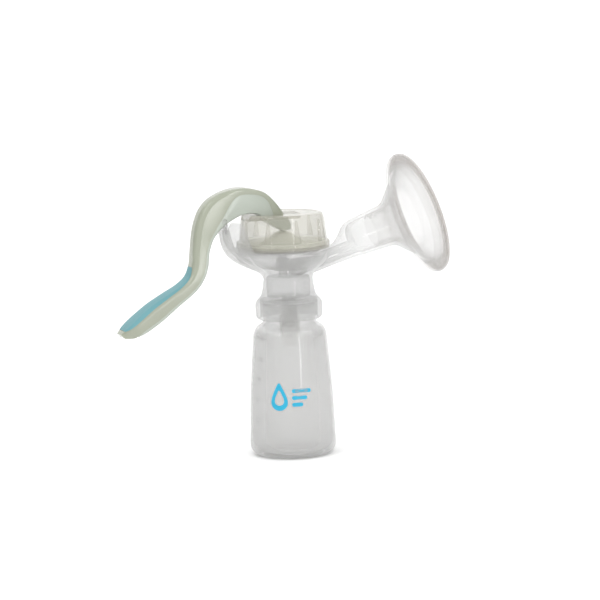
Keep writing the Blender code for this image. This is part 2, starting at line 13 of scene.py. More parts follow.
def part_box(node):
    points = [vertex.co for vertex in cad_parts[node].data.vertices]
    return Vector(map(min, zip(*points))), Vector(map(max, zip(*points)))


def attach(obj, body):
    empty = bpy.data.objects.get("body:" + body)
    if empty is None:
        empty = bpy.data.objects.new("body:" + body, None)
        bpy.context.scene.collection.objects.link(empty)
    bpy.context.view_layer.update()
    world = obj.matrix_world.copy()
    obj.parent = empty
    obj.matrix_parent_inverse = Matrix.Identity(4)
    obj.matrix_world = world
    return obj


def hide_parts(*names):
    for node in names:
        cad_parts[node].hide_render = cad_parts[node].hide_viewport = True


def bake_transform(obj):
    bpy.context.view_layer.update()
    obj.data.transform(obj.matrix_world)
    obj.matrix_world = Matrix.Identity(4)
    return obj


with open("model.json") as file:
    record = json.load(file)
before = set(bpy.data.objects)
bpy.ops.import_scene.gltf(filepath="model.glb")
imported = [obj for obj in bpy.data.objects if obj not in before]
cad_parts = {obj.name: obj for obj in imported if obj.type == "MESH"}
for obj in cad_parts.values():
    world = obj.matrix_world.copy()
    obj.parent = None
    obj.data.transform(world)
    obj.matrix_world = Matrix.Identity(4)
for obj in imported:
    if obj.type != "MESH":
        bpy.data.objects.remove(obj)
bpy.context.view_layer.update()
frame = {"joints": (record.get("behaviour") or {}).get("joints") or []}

MM = 0.001
WELD = 1e-4  # points of a new shape nearer than this, in mm, become one
CUT_WELD = 2e-3  # the same after a cut or a union
SHARP_ANGLE = 32.0  # edges sharper than this, in degrees, aren't shaded smooth
TUBE_STEPS = 72  # points around a small tube


# ---- anchors taken from the frame, in millimetres ----

def node_box(node):
    """Lowest and highest corner of a CAD node, in millimetres."""
    low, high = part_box(node)
    return Vector(low) / MM, Vector(high) / MM


def joint_place(name):
    """Position of a hinge, in millimetres."""
    joint = next(j for j in frame["joints"] if j["name"] == name)
    return Vector(joint["pos_m"]) / MM


_, BOTTLE_HIGH = node_box("bottle")
BODY_LOW, _ = node_box("pump_body")
CAP_LOW, CAP_HIGH = node_box("cap")
SEAL_LOW, SEAL_HIGH = node_box("neck_seal_ring")

BOTTLE_RADIUS = BOTTLE_HIGH.x
BOTTLE_MOUTH_Z = BOTTLE_HIGH.z
HEAD_X = (CAP_LOW.x + CAP_HIGH.x) / 2
CAP_TOP_Z = CAP_HIGH.z
PIVOT = joint_place("handle_squeeze")

SHIELD_TILT = math.radians(17.0)  # climb of the shield's axis
SHIELD_START = Vector((58.4, 0.0, 142.0))  # where the cushion's stem ends, on that axis


# ---- shape tools ----

def fillet(points, closed=True, steps=5):
    """Outline with rounded corners; a point is (x, y) or (x, y, radius)."""
    count = len(points)
    outline = []
    for i, point in enumerate(points):
        here = Vector(point[:2])
        radius = point[2] if len(point) > 2 else 0.0
        if radius <= 0.0 or (not closed and i in (0, count - 1)):
            outline.append(here)
            continue
        before = Vector(points[i - 1][:2]) - here
        after = Vector(points[(i + 1) % count][:2]) - here
        reach = min(radius, before.length * 0.48, after.length * 0.48)
        start = here + before.normalized() * reach
        end = here + after.normalized() * reach
        for step in range(steps + 1):
            t = step / steps
            outline.append(start * (1 - t) ** 2 + here * 2 * t * (1 - t) + end * t * t)
    return [(p.x, p.y) for p in outline]


def smooth_path(points, samples):
    """Catmull-Rom curve through the points, with samples steps between neighbours."""
    ends = [points[0], *points, points[-1]]
    path = []
    for a, b, c, d in zip(ends, ends[1:], ends[2:], ends[3:]):
        for step in range(samples):
            t = step / samples
            path.append(tuple(
                0.5 * (2 * q + (r - p) * t + (2 * p - 5 * q + 4 * r - s) * t * t
                       + (3 * q - p - 3 * r + s) * t ** 3)
                for p, q, r, s in zip(a, b, c, d)))
    path.append(tuple(points[-1]))
    return path


def arc(centre, radius, start, end, steps):
    """Points of a round stretch; angles in degrees."""
    angles = [math.radians(start + (end - start) * i / steps) for i in range(steps + 1)]
    return [(centre[0] + radius * math.cos(a), centre[1] + radius * math.sin(a)) for a in angles]


def ease(t):
    """Smooth step from 0 to 1."""
    t = min(max(t, 0.0), 1.0)
    return t * t * (3 - 2 * t)


def full_turn(steps):
    """Even angles once around, in radians."""
    return [2 * math.pi * i / steps for i in range(steps)]


def skin(rings, loop=False):
    """Join equal rings of points into a closed surface; loop joins the last to the first."""
    bm = bmesh.new()
    loops = [[bm.verts.new(point) for point in ring] for ring in rings]
    count = len(loops[0])
    pairs = list(zip(loops, loops[1:]))
    if loop:
        pairs.append((loops[-1], loops[0]))
    for lower, upper in pairs:
        for i in range(count):
            j = (i + 1) % count
            bm.faces.new((lower[i], lower[j], upper[j], upper[i]))
    if not loop:
        for ring in (loops[0], loops[-1]):
            middle = bm.verts.new(sum((v.co for v in ring), Vector()) / count)
            for i in range(count):
                bm.faces.new((ring[i], ring[(i + 1) % count], middle))
    bmesh.ops.remove_doubles(bm, verts=bm.verts, dist=WELD)
    bmesh.ops.dissolve_degenerate(bm, edges=bm.edges, dist=WELD)
    bmesh.ops.recalc_face_normals(bm, faces=bm.faces)
    return bm


def turned(profile, steps=144, axis_x=0.0, closed=False, shift=None):
    """Turn a profile of (radius, height) about a vertical axis; shift(angle, r, z) moves r."""
    rings = []
    for radius, height in profile:
        ring = []
        for angle in full_turn(steps):
            r = radius + (shift(angle, radius, height) if shift else 0.0)
            ring.append((axis_x + r * math.cos(angle), r * math.sin(angle), height))
        rings.append(ring)
    return skin(rings, loop=closed)


def block(low, high, corner=0.0):
    """A box between two corners, its edges rounded."""
    bm = bmesh.new()
    bmesh.ops.create_cube(bm, size=1.0)
    size = [h - l for l, h in zip(low, high)]
    centre = [(h + l) / 2 for l, h in zip(low, high)]
    bmesh.ops.scale(bm, vec=size, verts=bm.verts)
    bmesh.ops.translate(bm, vec=centre, verts=bm.verts)
    if corner > 0:
        bmesh.ops.bevel(bm, geom=bm.edges[:], offset=corner, segments=4, profile=0.5,
                        affect='EDGES')
    return bm


def rod(radius, half_length, x, z):
    """A round rod along Y through (x, z)."""
    bm = bmesh.new()
    turn = Matrix.Translation((x, 0, z)) @ Matrix.Rotation(math.pi / 2, 4, 'X')
    bmesh.ops.create_cone(bm, cap_ends=True, segments=40, radius1=radius, radius2=radius,
                          depth=2 * half_length, matrix=turn)
    return bm


def absorb(whole, part):
    """Add one shape to another and free it."""
    holder = bpy.data.meshes.new("part")
    part.to_mesh(holder)
    part.free()
    whole.from_mesh(holder)
    bpy.data.meshes.remove(holder)


def on_shield_axis(bm):
    """Move a shape made about the vertical axis onto the shield's axis."""
    turn = Matrix.Rotation(math.pi / 2 - SHIELD_TILT, 4, 'Y')
    bmesh.ops.transform(bm, matrix=Matrix.Translation(SHIELD_START) @ turn, verts=bm.verts)
    return bm


def make_mesh(name, bm, sharp=SHARP_ANGLE):
    """Mesh datablock in metres, shaded smooth except at sharp edges."""
    bmesh.ops.scale(bm, vec=(MM, MM, MM), verts=bm.verts)
    mesh = bpy.data.meshes.new(name)
    bm.to_mesh(mesh)
    bm.free()
    mesh.shade_smooth()
    mesh.set_sharp_from_angle(angle=math.radians(sharp))
    return mesh


def add_object(name, data):
    """New object in the scene."""
    thing = bpy.data.objects.new(name, data)
    bpy.context.collection.objects.link(thing)
    return thing


def add_piece(name, bm, material, body, node, sharp=SHARP_ANGLE):
    """Put a finished shape in the scene, in place of its CAD node if it has one.

    It rides on the body; a piece that spans two bodies has None there and rides on no body.
    """
    mesh = make_mesh(name, bm, sharp)
    mesh.materials.append(material)
    piece = add_object(name, mesh)
    if body:
        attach(piece, body)
    if node:
        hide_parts(node)
    return piece


def combine(name, start, steps):
    """Apply a list of ('UNION' or 'DIFFERENCE', shape) to a shape; returns the result."""
    base = add_object(name, make_mesh(name, start))
    tools = [base]
    for number, (operation, bm) in enumerate(steps):
        tool = add_object(f"{name}_tool", make_mesh(f"{name}_tool", bm))
        tools.append(tool)
        modifier = base.modifiers.new(f"step_{number}", 'BOOLEAN')
        modifier.operation = operation
        modifier.object = tool
        modifier.solver = 'EXACT'
    graph = bpy.context.evaluated_depsgraph_get()
    result = bmesh.new()
    result.from_mesh(base.evaluated_get(graph).to_mesh())
    for tool in tools:
        bpy.data.objects.remove(tool, do_unlink=True)
    bmesh.ops.scale(result, vec=(1 / MM, 1 / MM, 1 / MM), verts=result.verts)
    bmesh.ops.remove_doubles(result, verts=result.verts, dist=CUT_WELD)
    bmesh.ops.dissolve_degenerate(result, edges=result.edges, dist=CUT_WELD)
    return result


# ---- materials ----

EDGE_HAZE, EDGE_POWER = 0.75, 3.5  # haze added edge on, and how late it sets in
FLOW_SCALE, FLOW_STRETCH = 28.0, (1.0, 1.0, 0.35)
GRAIN_SCALE, GRAIN_HEIGHT = 900.0, 0.00004
ROUGHNESS_DRIFT = 0.2
SILICONE_IOR = 1.41
LIP_START, LIP_LENGTH = 0.0335, 0.002  # the cushion's lip along the shield's axis, in metres


def principled(name):
    """New material; returns it, its nodes, its links and its Principled shader."""
    material = bpy.data.materials.new(name)
    material.use_nodes = True
    nodes = material.node_tree.nodes
    return material, nodes, material.node_tree.links, nodes["Principled BSDF"]


def add_noise(nodes, links, scale, detail, stretch=(1.0, 1.0, 1.0)):
    """Noise texture in the object's own space."""
    place = nodes.new("ShaderNodeTexCoord")
    mapping = nodes.new("ShaderNodeMapping")
    mapping.inputs["Scale"].default_value = stretch
    noise = nodes.new("ShaderNodeTexNoise")
    noise.inputs["Scale"].default_value = scale
    noise.inputs["Detail"].default_value = detail
    links.new(place.outputs["Object"], mapping.inputs["Vector"])
    links.new(mapping.outputs["Vector"], noise.inputs["Vector"])
    return noise


def add_ramp(nodes, start, first, end, second):
    """Colour ramp from one colour to another between two positions."""
    ramp = nodes.new("ShaderNodeValToRGB")
    low, high = ramp.color_ramp.elements
    low.position, low.color = start, (*first, 1.0)
    high.position, high.color = end, (*second, 1.0)
    return ramp


def add_range(nodes, low, high, first=0.0, last=1.0):
    """Map a value from first..last onto low..high."""
    spread = nodes.new("ShaderNodeMapRange")
    limits = {"From Min": first, "From Max": last, "To Min": low, "To Max": high}
    for socket, value in limits.items():
        spread.inputs[socket].default_value = value
    return spread


def add_dot(nodes, direction):
    """Distance along a direction."""
    along = nodes.new("ShaderNodeVectorMath")
    along.operation = 'DOT_PRODUCT'
    along.inputs[1].default_value = direction
    return along


def vary_colour(nodes, links, shader, noise, first, second):
    """Base colour that drifts between two near tones."""
    ramp = add_ramp(nodes, 0.3, first, 0.7, second)
    links.new(noise.outputs["Fac"], ramp.inputs["Fac"])
    links.new(ramp.outputs["Color"], shader.inputs["Base Color"])


def vary_roughness(nodes, links, shader, noise, low, high):
    """Roughness that drifts between two values."""
    spread = add_range(nodes, low, high)
    links.new(noise.outputs["Fac"], spread.inputs["Value"])
    links.new(spread.outputs["Result"], shader.inputs["Roughness"])


def add_bump(nodes, links, shader, noise, strength, distance):
    """Fine relief from a noise."""
    bump = nodes.new("ShaderNodeBump")
    bump.inputs["Strength"].default_value = strength
    bump.inputs["Distance"].default_value = distance
    links.new(noise.outputs["Fac"], bump.inputs["Height"])
    links.new(bump.outputs["Normal"], shader.inputs["Normal"])


def thicken_edges(nodes, links, shader, haze, change=None):
    """A thin milky wall hides more of what is behind it where it is seen edge on.

    change is (axis, first, last, haze): the haze moves to that value between two distances
    along the axis, in metres, where the moulding gets thinner or thicker; on the bottle's neck
    it is painted light instead.
    """
    weight = nodes.new("ShaderNodeLayerWeight")
    weight.inputs["Blend"].default_value = 0.5
    power = nodes.new("ShaderNodeMath")
    power.operation = 'POWER'
    power.inputs[1].default_value = EDGE_POWER
    spread = add_range(nodes, haze, min(haze + EDGE_HAZE, 1.0))
    links.new(weight.outputs["Facing"], power.inputs[0])
    links.new(power.outputs["Value"], spread.inputs["Value"])
    links.new(spread.outputs["Result"], shader.inputs["Alpha"])
    if change:
        axis, first, last, far_haze = change
        place = nodes.new("ShaderNodeTexCoord")
        along = add_dot(nodes, axis)
        local = add_range(nodes, haze, far_haze, first, last)
        links.new(place.outputs["Object"], along.inputs[0])
        links.new(along.outputs["Value"], local.inputs["Value"])
        links.new(local.outputs["Result"], spread.inputs["To Min"])


def moulded_plastic(name, first, second, rough, haze, transmission=0.0, ior=1.49,
                    grain_depth=0.15, change=None):
    """Moulded plastic or silicone with a soft flow pattern; haze is how much of it is seen."""
    material, nodes, links, shader = principled(name)
    flow = add_noise(nodes, links, FLOW_SCALE, 2.0, FLOW_STRETCH)
    grain = add_noise(nodes, links, GRAIN_SCALE, 3.0)
    vary_colour(nodes, links, shader, flow, first, second)
    vary_roughness(nodes, links, shader, flow, rough * (1 - ROUGHNESS_DRIFT),
                   rough * (1 + ROUGHNESS_DRIFT))
    add_bump(nodes, links, shader, grain, grain_depth, GRAIN_HEIGHT)
    shader.inputs["IOR"].default_value = ior
    shader.inputs["Transmission Weight"].default_value = transmission
    thicken_edges(nodes, links, shader, haze, change)
    return material


def soft_grip(name):
    """Matte soft-touch rubber of the grip pad."""
    material, nodes, links, shader = principled(name)
    tone = add_noise(nodes, links, 60.0, 2.0)
    grain = add_noise(nodes, links, 1600.0, 4.0)
    vary_colour(nodes, links, shader, tone, (0.095, 0.262, 0.29), (0.115, 0.29, 0.32))
    vary_roughness(nodes, links, shader, tone, 0.5, 0.62)
    add_bump(nodes, links, shader, grain, 0.35, 0.00006)
    shader.inputs["Sheen Weight"].default_value = 0.04
    return material


def print_ink(name):
    """Screen-printed ink with slightly uneven cover."""
    material, nodes, links, shader = principled(name)
    tone = add_noise(nodes, links, 400.0, 3.0)
    vary_colour(nodes, links, shader, tone, (0.010, 0.33, 0.51), (0.014, 0.36, 0.55))
    vary_roughness(nodes, links, shader, tone, 0.35, 0.5)
    return material


def make_materials():
    """Every finish, by name; a change marks where a moulding gets thinner or thicker, except on
    the bottle's neck, where it is painted light; the ribs' lighter plastic is painted light too.
    """
    shield_axis = (math.cos(SHIELD_TILT), 0.0, math.sin(SHIELD_TILT))
    lip = Vector(shield_axis).dot(SHIELD_START * MM) + LIP_START
    # painted light: above 78 mm the bottle's haze drops from 0.50 to 0.26, so its shoulder and
    # neck show lighter against the shade inside them
    neck_painted_light = ((0, 0, 1), 0.078, 0.083, 0.26)
    thin_shield = ((1, 0, 0), 0.030, 0.050, 0.145)
    thick_lip = (shield_axis, lip, lip + LIP_LENGTH, 0.60)
    return {
        "bottle": moulded_plastic(
            "bottle_plastic", (0.56, 0.56, 0.55), (0.60, 0.60, 0.59),
            rough=0.10, haze=0.50, transmission=0.35, change=neck_painted_light),
        "body": moulded_plastic(
            "body_plastic", (0.45, 0.45, 0.44), (0.49, 0.49, 0.48),
            rough=0.04, haze=0.33, transmission=0.30, change=thin_shield),
        "cap": moulded_plastic(
            "cap_plastic", (0.455, 0.44, 0.365), (0.495, 0.48, 0.41),
            rough=0.02, haze=0.46, transmission=0.35, grain_depth=0.03),
        # painted light: the ribs get a lighter, clearer copy of the cap's plastic so they show as
        # bright bars
        "rib": moulded_plastic(
            "rib_plastic_painted_light", (0.50, 0.49, 0.42), (0.54, 0.53, 0.46),
            rough=0.02, haze=0.22, transmission=0.35, grain_depth=0.03),
        "cushion": moulded_plastic(
            "cushion_silicone", (0.46, 0.435, 0.41), (0.50, 0.475, 0.45),
            rough=0.05, haze=0.06, transmission=0.05, ior=SILICONE_IOR, change=thick_lip),
        "valve": moulded_plastic(
            "valve_silicone", (0.80, 0.80, 0.77), (0.84, 0.84, 0.81),
            rough=0.35, haze=0.22, ior=SILICONE_IOR),
        "seal": moulded_plastic(
            "seal_silicone", (0.80, 0.81, 0.80), (0.84, 0.85, 0.84),
            rough=0.35, haze=0.22, ior=SILICONE_IOR),
        "diaphragm": moulded_plastic(
            "diaphragm_silicone", (0.78, 0.79, 0.71), (0.82, 0.83, 0.76),
            rough=0.35, haze=0.30, ior=SILICONE_IOR),
        "stem": moulded_plastic(
            "stem_plastic", (0.66, 0.67, 0.61), (0.70, 0.71, 0.66), rough=0.3, haze=0.38),
        "shell": moulded_plastic(
            "shell_plastic", (0.33, 0.35, 0.272), (0.36, 0.38, 0.307),
            rough=0.14, haze=0.94, transmission=0.1),
        "liner": moulded_plastic(
            "liner_plastic", (0.42, 0.455, 0.395), (0.46, 0.50, 0.44),
            rough=0.18, haze=0.88, transmission=0.1),
        "pin": moulded_plastic(
            "pin_plastic", (0.42, 0.44, 0.40), (0.46, 0.48, 0.44), rough=0.3, haze=0.9),
        "pad": soft_grip("grip_rubber"),
        "ink": print_ink("print_ink"),
    }


# ---- bottle ----

BASE_CORNER = 6.6
NECK_RADIUS, NECK_BORE = 17.0, 15.4
NECK_FOOT_Z = 88.6
NECK_ROWS = 60  # enough for the thread's slope
THREAD_LOW_Z, THREAD_HIGH_Z = 90.2, 97.4
THREAD_PITCH, THREAD_HEIGHT = 4.0, 1.1
THREAD_HALF_WIDTH, THREAD_FLANK = 1.1, 0.7
THREAD_FADE = 1.2  # length over which the thread starts and ends

# Outside of the bottle between its corner and its neck, as (radius, height).
BOTTLE_WALL = smooth_path(
    [(BOTTLE_RADIUS, BASE_CORNER), (BOTTLE_RADIUS, 12.0), (27.0, 38.0), (25.1, 64.0),
     (24.2, 75.0), (23.4, 80.2), (21.7, 83.4), (19.1, 85.5), (17.4, 87.0),
     (NECK_RADIUS, NECK_FOOT_Z)], 6)


def wall_radius(height):
    """Outer radius of the bottle at a height."""
    for (r0, z0), (r1, z1) in zip(BOTTLE_WALL, BOTTLE_WALL[1:]):
        if z0 <= height <= z1:
            return r0 + (r1 - r0) * (height - z0) / max(z1 - z0, 1e-6)
    return BOTTLE_WALL[-1][0]


def bottle_profile():
    """Closed half outline: outside up to the mouth, then down the inside."""
    base = fillet([(0.0, 0.0), (11.5, 0.0, 1.0), (13.0, 1.2, 1.0), (17.0, 1.2, 1.0),
                   (18.5, 0.0, 1.0), (21.2, 0.0)], closed=False)
    corner = arc((BOTTLE_RADIUS - BASE_CORNER, BASE_CORNER), BASE_CORNER, -90, 0, 14)[1:-1]
    neck = [(NECK_RADIUS, NECK_FOOT_Z + (BOTTLE_MOUTH_Z - 0.6 - NECK_FOOT_Z) * i / NECK_ROWS)
            for i in range(1, NECK_ROWS + 1)]
    mouth = [(NECK_RADIUS - 0.2, BOTTLE_MOUTH_Z - 0.2), (NECK_RADIUS - 0.6, BOTTLE_MOUTH_Z),
             (NECK_BORE + 0.4, BOTTLE_MOUTH_Z), (NECK_BORE, BOTTLE_MOUTH_Z - 0.4)]
    inside = smooth_path([(NECK_BORE, 98.0), (NECK_BORE, NECK_FOOT_Z), (15.8, 86.4),
                          (17.8, 84.2), (20.4, 82.2), (22.0, 79.4), (22.8, 75.0), (23.7, 64.0),
                          (25.6, 38.0), (26.4, 14.0), (26.2, 8.6), (24.2, 4.6), (20.8, 2.9),
                          (14.0, 2.6), (0.0, 2.6)], 5)
    return base + corner + BOTTLE_WALL + neck + mouth + inside


def thread_shift(angle, radius, height):
    """Rise of the helical thread on the bottle's neck."""
    if radius < NECK_RADIUS - 0.01 or not THREAD_LOW_Z - 2 < height < THREAD_HIGH_Z + 2:
        return 0.0
    turn = angle / (2 * math.pi)
    phase = ((height - THREAD_LOW_Z) / THREAD_PITCH - turn) % 1.0
    across = abs(phase - 0.5) * THREAD_PITCH
    fade = (ease((height - THREAD_LOW_Z) / THREAD_FADE)
            * ease((THREAD_HIGH_Z - height) / THREAD_FADE))
    return THREAD_HEIGHT * ease((THREAD_HALF_WIDTH - across) / THREAD_FLANK) * fade


def make_bottle(finish):
    """Feeding bottle with a domed shoulder, a helical thread and a ring groove underneath."""
    bm = turned(bottle_profile(), steps=160, shift=thread_shift)
    return add_piece("bottle_shell", bm, finish, "bottle", "bottle")


FRONT = math.radians(-110.0)  # the side of the bottle that carries the print
PRINT_Z, INK_LIFT, INK_DEPTH = 40.5, 0.03, 0.12
DROP_SIZE, DROP_HOLE, DROP_PLACE = 6.6, 3.7, (-7.4, -0.6)
BAR_HEIGHT = 2.5
PRINT_BARS = ((0.9, 4.6, 12.6), (0.9, 0.2, 10.0), (0.9, -4.2, 7.2))  # x, y and length
SCALE_ANGLE = FRONT - math.radians(72.0)
SCALE_LOW_Z, SCALE_HIGH_Z, FULL_ML = 12.0, 78.0, 150
TICK_ML, FIGURE_ML = 10, 30
TICK_LENGTH, LONG_TICK_LENGTH, TICK_HEIGHT = 3.2, 5.4, 0.55
TICK_DEPTH, TICK_SINK = 0.22, 0.05
FIGURE_SIZE, FIGURE_X, FIGURE_WELD = 3.6, 9.6, 1e-5


def wrap_on_bottle(bm, centre_angle, centre_z, lift):
    """Bend a flat shape in the XY plane onto the bottle's wall."""
    for vert in bm.verts:
        height = centre_z + vert.co.y
        radius = wall_radius(height) + lift + vert.co.z
        angle = centre_angle + vert.co.x / wall_radius(height)
        vert.co = Vector((radius * math.cos(angle), radius * math.sin(angle), height))
    return bm


def plate(outline, hole=None, thickness=INK_DEPTH):
    """Flat plate in the XY plane from one outline, with an optional matching hole."""
    bm = bmesh.new()
    outer = [bm.verts.new((x, y, 0.0)) for x, y in outline]
    if hole:
        inner = [bm.verts.new((x, y, 0.0)) for x, y in hole]
        count = len(outer)
        for i in range(count):
            j = (i + 1) % count
            bm.faces.new((outer[i], outer[j], inner[j], inner[i]))
    else:
        middle = bm.verts.new((sum(p[0] for p in outline) / len(outline),
                               sum(p[1] for p in outline) / len(outline), 0.0))
        for i in range(len(outer)):
            bm.faces.new((outer[i], outer[(i + 1) % len(outer)], middle))
    grown = bmesh.ops.extrude_face_region(bm, geom=bm.faces[:])
    moved = [item for item in grown["geom"] if isinstance(item, bmesh.types.BMVert)]
    bmesh.ops.translate(bm, vec=(0, 0, thickness), verts=moved)
    bmesh.ops.recalc_face_normals(bm, faces=bm.faces)
    return bm


def drop_outline(size):
    """A milk drop: round below, pointed above."""
    points = []
    for angle in full_turn(48):
        lean = (1 + math.sin(angle)) / 2
        points.append((size * math.cos(angle) * (1 - 0.62 * lean ** 1.6),
                       size * (math.sin(angle) * 1.12 + 0.45 * lean ** 4)))
    return points


def bar_outline(x, y, length, height):
    """A bar with round ends."""
    r = height / 2
    return arc((x + length - r, y), r, -90, 90, 8) + arc((x + r, y), r, 90, 270, 8)


def make_print(finish):
    """Printed pictogram on the bottle: a drop and three bars."""
    whole = plate(drop_outline(DROP_SIZE), drop_outline(DROP_HOLE))
    bmesh.ops.translate(whole, vec=(*DROP_PLACE, 0.0), verts=whole.verts)
    for x, y, length in PRINT_BARS:
        absorb(whole, plate(bar_outline(x, y, length, BAR_HEIGHT)))
    wrap_on_bottle(whole, FRONT, PRINT_Z, INK_LIFT)
    return add_piece("bottle_print", whole, finish, "bottle", None)


def figure_mesh(text):
    """Flat mesh of a number, centred on its middle."""
    curve = bpy.data.curves.new("figure", 'FONT')
    curve.body = text
    curve.size = FIGURE_SIZE
    curve.align_x = 'CENTER'
    curve.align_y = 'CENTER'
    curve.extrude = INK_DEPTH
    holder = add_object("figure", curve)
    graph = bpy.context.evaluated_depsgraph_get()
    bm = bmesh.new()
    bm.from_mesh(holder.evaluated_get(graph).to_mesh())
    bpy.data.objects.remove(holder, do_unlink=True)
    bmesh.ops.remove_doubles(bm, verts=bm.verts, dist=FIGURE_WELD)
    return bm


def make_scale(finish):
    """Raised scale on the bottle: a tick every 10 ml and a figure every 30 ml."""
    whole = bmesh.new()
    for volume in range(TICK_ML, FULL_ML + 1, TICK_ML):
        height = SCALE_LOW_Z + (SCALE_HIGH_Z - SCALE_LOW_Z) * volume / FULL_ML
        numbered = volume % FIGURE_ML == 0
        length = LONG_TICK_LENGTH if numbered else TICK_LENGTH
        tick = plate(bar_outline(0.0, 0.0, length, TICK_HEIGHT), thickness=TICK_DEPTH)
        absorb(whole, wrap_on_bottle(tick, SCALE_ANGLE, height, -TICK_SINK))
        if numbered:
            figure = figure_mesh(str(volume))
            bmesh.ops.translate(figure, vec=(FIGURE_X, 0.0, 0.0), verts=figure.verts)
            absorb(whole, wrap_on_bottle(figure, SCALE_ANGLE, height, 0.0))
    return add_piece("bottle_scale", whole, finish, "bottle", None)


def make_seal_ring(finish):
    """Flat sealing ring over the bottle's mouth."""
    profile = fillet([(12.0, SEAL_LOW.z, 0.3), (18.2, SEAL_LOW.z, 0.3),
                      (18.2, SEAL_HIGH.z, 0.3), (12.0, SEAL_HIGH.z, 0.3)])
    bm = turned(profile, closed=True)
    return add_piece("seal_ring", bm, finish, "seal", "neck_seal_ring")


# ---- pump body ----

BODY_NECK_RADIUS = 16.0
BOWL_LEFT, BOWL_RIGHT, BOWL_HALF_WIDTH = 42.1, 29.8, 30.6
BOWL_RIM_RISE, BOWL_CHEEK_RISE = 15.0, 5.0
RIM_START, RIM_SPAN = 0.62, 0.22  # where the raised end begins, as a cosine
CHEEK_START, CHEEK_SPAN = 0.26, 0.12  # where the cheeks beside the handle begin, as a sine
BOWL_WALL = 1.8
BOWL_STEPS = 160
DECK_Z = SEAL_HIGH.z + 0.3
DECK_WALL = 1.6
SKIRT_BORE, SKIRT_BOTTOM_Z = 18.7, 89.2
SEAT_BOTTOM_Z = BODY_LOW.z
CHAMBER_TOP_Z = 117.0
AIR_X, AIR_RADIUS, AIR_BORE = -3.35, 4.2, 2.8
PIN_RADIUS, PIN_BORE = 1.5, 1.6
# The milk channel's section on the shield's axis: how far below it, half height, half width.
CHANNEL = (4.9, 6.4, 9.5)


def bowl_ring(radius, reach, height, rise, shrink=0.0):
    """Oval ring: reach opens it from the round neck to the bowl, rise lifts its left end."""
    ring = []
    for angle in full_turn(BOWL_STEPS):
        far = BOWL_LEFT if math.cos(angle) < 0 else BOWL_RIGHT
        rx = radius + (far - BODY_NECK_RADIUS) * reach - shrink
        ry = radius + (BOWL_HALF_WIDTH - BODY_NECK_RADIUS) * reach - shrink
        cheek = BOWL_CHEEK_RISE * ease((abs(math.sin(angle)) - CHEEK_START) / CHEEK_SPAN)
        lift = ease((-math.cos(angle) - RIM_START) / RIM_SPAN) * (BOWL_RIM_RISE + cheek)
        ring.append((HEAD_X * min(reach * 1.5, 1.0) + rx * math.cos(angle), ry * math.sin(angle),
                     height + lift * rise))
    return ring


def neck_and_bowl():
    """Skirt, neck and bowl as one smooth skin, with the bowl's inside."""
    r = BODY_NECK_RADIUS
    outside = [(20.2, 0, SKIRT_BOTTOM_Z, 0), (21.3, 0, 90.4, 0), (21.75, 0, 92.6, 0),
               (21.8, 0, 95.5, 0), (21.8, 0, 98.4, 0), (21.1, 0, 100.6, 0), (19.4, 0, 102.6, 0),
               (17.9, 0, 104.6, 0), (16.9, 0, 108.0, 0), (16.3, 0, 112.0, 0), (r, 0, 115.0, 0),
               (r, 0.03, 117.2, 0), (r, 0.12, 119.3, 0.03), (r, 0.32, 121.2, 0.09),
               (r, 0.60, 123.6, 0.22), (r, 0.84, 126.4, 0.40), (r, 0.96, 129.6, 0.63),
               (r, 1.0, 132.3, 0.84), (r, 1.0, 133.8, 0.95)]
    rings = [bowl_ring(*row) for row in smooth_path(outside, 3)]
    lip = [(r, 0.985, 134.5, 1.0, 0.35), (r, 0.985, 134.6, 1.0, 0.9), (r, 0.985, 134.4, 1.0, 1.4)]
    rings += [bowl_ring(*row) for row in lip]
    inside = [(r, 0.985, 133.4, 0.95, 1.7), (r, 0.985, 132.0, 0.84, BOWL_WALL),
              (r, 0.95, 130.2, 0.66, BOWL_WALL), (r, 0.83, 127.8, 0.44, BOWL_WALL),
              (r, 0.60, 125.4, 0.26, BOWL_WALL), (r, 0.32, 123.2, 0.12, BOWL_WALL),
              (r, 0.10, 121.6, 0.05, BOWL_WALL), (8.0, 0.0, 121.0, 0.0, 0.0)]
    rings += [bowl_ring(*row) for row in smooth_path(inside, 3)]
    return skin(rings)


def cup_profile():
    """Half section of the diaphragm's cup."""
    return fillet([(0.0, 131.6), (29.5, 131.6, 1.2), (29.5, 134.8, 0.3), (28.0, 134.9, 0.3),
                   (28.0, 137.0, 0.3), (25.6, 137.0, 0.3), (25.6, 134.2, 0.4), (24.6, 133.4, 0.6),
                   (0.0, 133.4)], closed=False)


def shield_outside():
    """Half section of the wide tunnel and hard shield, about its own axis."""
    return fillet([(0.0, -17.5), (9.6, -17.3, 2.0), (11.6, -14.6, 2.0), (12.3, -11.5, 3.0),
                   (14.0, 12.4, 4.0), (20.0, 18.6, 6.0), (27.5, 26.0, 6.0), (34.0, 30.6, 4.0),
                   (36.6, 31.6, 0.6), (37.0, 32.2, 0.4), (36.4, 32.8, 0.3), (0.0, 32.8)],
                  closed=False, steps=8)


def shield_hollow():
    """Half section of the space in the tunnel and shield."""
    return fillet([(0.0, -15.7), (8.4, -15.5, 1.5), (10.0, -13.2, 1.5), (10.5, -11.0, 2.0),
                   (12.2, 13.0, 4.0), (18.9, 20.0, 6.0), (26.4, 27.5, 6.0), (33.2, 32.2, 2.0),
                   (35.3, 32.7, 0.4), (41.0, 37.0), (0.0, 37.0)], closed=False, steps=8)


def oval_tube(stations, wall=0.0):
    """Solid along the shield's axis through (height, drop, half height, half width)."""
    rings = [[(drop + (tall - wall) * math.cos(a), (wide - wall) * math.sin(a), height)
              for a in full_turn(TUBE_STEPS)] for height, drop, tall, wide in stations]
    return on_shield_axis(skin(rings))


def channel_tube(wall, low, high):
    """Oval milk tube under the tunnel."""
    return oval_tube([(low, *CHANNEL), (high, *CHANNEL)], wall)


